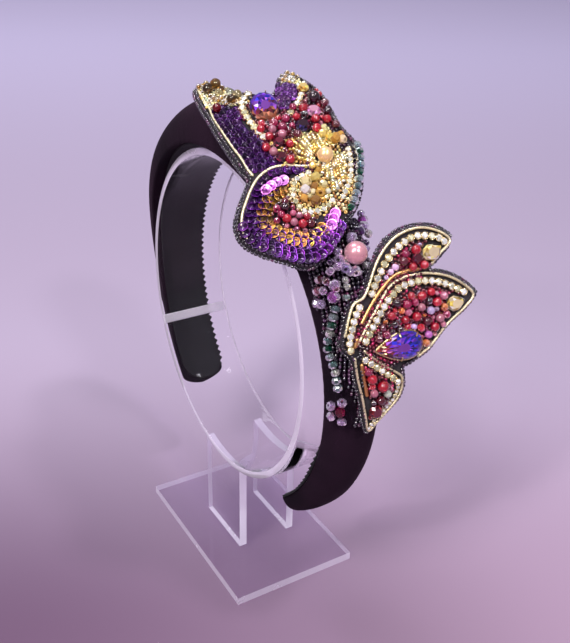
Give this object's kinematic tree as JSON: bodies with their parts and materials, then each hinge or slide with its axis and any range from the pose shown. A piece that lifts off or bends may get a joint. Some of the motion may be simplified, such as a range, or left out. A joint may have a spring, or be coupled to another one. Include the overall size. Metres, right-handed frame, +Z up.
{
  "type": "velvet headband on display stand",
  "caption": "Padded velvet headband with beaded wing appliques of sequins, rhinestones and crystals, resting on a clear acrylic ring stand with a flat rectangular base.",
  "frame": {"origin": "middle of the stand base's underside, on the surface it stands on", "axes": "+Z up, +X across the headband from its plain side to its beaded side, -Y towards the front of the stand"},
  "size_m": [0.1851, 0.0826, 0.2289],
  "materials": {
    "acrylic": "clear polished acrylic",
    "velvet": "very dark plum velvet pile",
    "tape": "matt grosgrain tape with pinked edges",
    "felt": "black felt closely sewn with seed beads",
    "gold": "pale gold metal thread and beads",
    "copper": "copper bullion and sequins",
    "rhinestone": "clear cut stones in pale gold cups",
    "violet": "violet sequins and rainbow-coated crystal",
    "lilac": "transparent lilac crystal beads",
    "crimson": "glossy crimson glass beads",
    "garnet": "near-black garnet glass",
    "navy": "near-black navy glass",
    "amber": "cut amber and champagne crystal",
    "pearl_peach": "peach pearl lustre",
    "pearl_pink": "pink pearl lustre",
    "teal": "grey-teal and green cut glass beads"
  },
  "bodies": {
    "root": {"stand_base": "acrylic", "stand_front_upright": "acrylic", "stand_rear_upright": "acrylic", "stand_ring": "acrylic", "velvet_band": "velvet", "lining": "tape", "bead_patch": "felt", "front_wing_backing": "felt", "rear_wing_backing": "felt", "forewing_wire": "gold", "hindwing_wire": "gold", "rear_upper_wire": "gold", "rear_middle_wire": "gold", "rear_lower_wire": "gold", "gold_lobe_beads": "gold", "gold_fan": "gold", "bullion_fan": "gold", "rear_bullion": "copper", "gold_sequins": "copper", "forewing_chain": "rhinestone", "lobe_chain": "rhinestone", "edge_chain": "rhinestone", "hindwing_chain": "rhinestone", "rear_upper_chain": "rhinestone", "rear_root_chain": "rhinestone", "rear_middle_chain": "rhinestone", "rear_lower_chain": "rhinestone", "lobe_tip_beads": "rhinestone", "forewing_sequins": "violet", "lobe_sequins": "violet", "hindwing_sequins": "violet", "round_crystal": "violet", "drop_crystal": "violet", "pink_disc": "lilac", "pearl_flower": "lilac", "lower_flower": "lilac", "buds": "lilac", "lilac_cluster": "lilac", "violet_crystals": "lilac", "flower_drops": "lilac", "crimson_beads": "crimson", "crimson_edge_beads": "crimson", "heart_beads": "crimson", "rear_upper_beads": "crimson", "rear_middle_beads": "crimson", "rear_lower_beads": "crimson", "garnet_upper": "garnet", "garnet_lower": "garnet", "rear_garnet_upper": "garnet", "rear_garnet_lower": "garnet", "navy_stone": "navy", "champagne_beads": "amber", "amber_front": "amber", "topaz_stone": "amber", "rear_amber_upper": "amber", "rear_amber_middle": "amber", "peach_pearl": "pearl_peach", "pink_pearl": "pearl_pink", "vine_upper": "teal", "vine_lower": "teal"}
  },
  "joints": []
}
